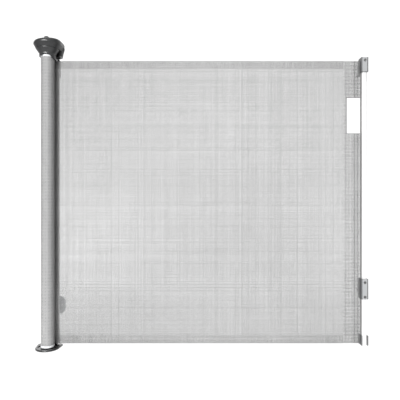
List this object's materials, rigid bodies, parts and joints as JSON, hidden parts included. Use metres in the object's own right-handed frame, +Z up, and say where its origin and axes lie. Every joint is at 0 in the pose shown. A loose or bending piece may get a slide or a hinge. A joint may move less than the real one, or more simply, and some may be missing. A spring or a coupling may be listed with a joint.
{
  "type": "retractable mesh pet gate",
  "caption": "Retractable mesh gate: mesh unrolls from a wall-mounted sprung roller post under a turning lock cap to an end bar that hooks onto catches across the opening.",
  "frame": {"origin": "middle of the foot's underside, on the roller axis", "axes": "+X across the opening from the roller axis to the end bar, +Y towards the wall behind, +Z up along the roller"},
  "size_m": [1.0205, 0.1025, 0.9308],
  "materials": {
    "dark_plastic": "glossy moulded dark grey",
    "grip_rubber": "matt black",
    "pile_strip": "grey woven pile",
    "mark_plastic": "printed light grey",
    "bush_plastic": "natural acetal",
    "ratchet_plastic": "moulded black",
    "grey_plastic": "moulded mid grey",
    "plate_plastic": "moulded light grey",
    "white_plastic": "moulded white",
    "rail_aluminium": "drawn, light grey coated",
    "bar_white": "white powder coat over aluminium",
    "mesh_fabric": "open grey polyester mesh",
    "hem_fabric": "folded and stitched grey mesh",
    "steel": "zinc plated"
  },
  "bodies": {
    "post": {"foot": "dark_plastic", "lower_bush": "bush_plastic", "back_rail": "rail_aluminium", "rail_wiper_strips": "pile_strip", "rail_screws": "steel", "lower_bracket": "grey_plastic", "upper_bracket": "dark_plastic", "head_housing": "dark_plastic", "upper_bush": "bush_plastic", "head_plate": "bush_plastic", "head_plate_screws": "steel", "lock_marks": "mark_plastic", "pawl_pin": "steel", "spring_rod": "steel", "mesh_panel": "mesh_fabric", "top_hem": "hem_fabric", "bottom_hem": "hem_fabric"},
    "roller": {"core_tube": "rail_aluminium", "wound_mesh": "mesh_fabric", "lower_end_ring": "white_plastic", "upper_end_ring": "white_plastic", "spring_plug": "bush_plastic", "return_spring": "steel", "upper_axle": "steel", "ratchet_wheel": "ratchet_plastic"},
    "pawl": {"pawl": "bush_plastic"},
    "cap": {"lock_cap": "dark_plastic", "cap_clip": "steel", "cap_grips": "grip_rubber", "button_spring": "steel"},
    "button": {"release_button": "dark_plastic"},
    "end_bar": {"end_bar": "bar_white", "bar_top_cap": "white_plastic", "hem_rod": "steel", "end_hem": "hem_fabric", "upper_clip": "grey_plastic", "lower_clip": "grey_plastic", "bottom_clip": "grey_plastic", "clip_plates": "plate_plastic", "clip_screws": "steel"},
    "wall_catches": {"upper_catch": "grey_plastic", "lower_catch": "grey_plastic"}
  },
  "joints": [
    {"name": "bar_slide", "type": "slide", "parent": "post", "child": "end_bar", "axis": [1, 0, 0], "range_m": [-0.84, 0], "deforming": ["mesh_panel", "top_hem", "bottom_hem"]},
    {"name": "roll_spin", "type": "hinge", "parent": "post", "child": "roller", "pos_m": [0, 0, 0.44], "axis": [0, 0, 1], "range_deg": [-10, 2500]},
    {"name": "cap_turn", "type": "hinge", "parent": "post", "child": "cap", "pos_m": [0, 0, 0.9], "axis": [0, 0, 1], "range_deg": [0, 50]},
    {"name": "pawl_swing", "type": "hinge", "parent": "post", "child": "pawl", "pos_m": [0.0195, 0, 0.8895], "axis": [0, 0, 1], "range_deg": [-10, 0]},
    {"name": "button_press", "type": "slide", "parent": "cap", "child": "button", "axis": [0, 0, -1], "range_m": [0, 0.003], "stiffness_N_per_m": 800, "springref_m": -0.002, "deforming": ["button_spring"]},
    {"name": "catch_release", "type": "slide", "parent": "end_bar", "child": "wall_catches", "axis": [0, 0, -1], "range_m": [0, 0.03]}
  ],
  "couplings": [
    {"joint": "roll_spin", "follows": "bar_slide", "rad_per_m": -48.781},
    {"joint": "pawl_swing", "follows": "cap_turn", "ratio": -0.18}
  ]
}
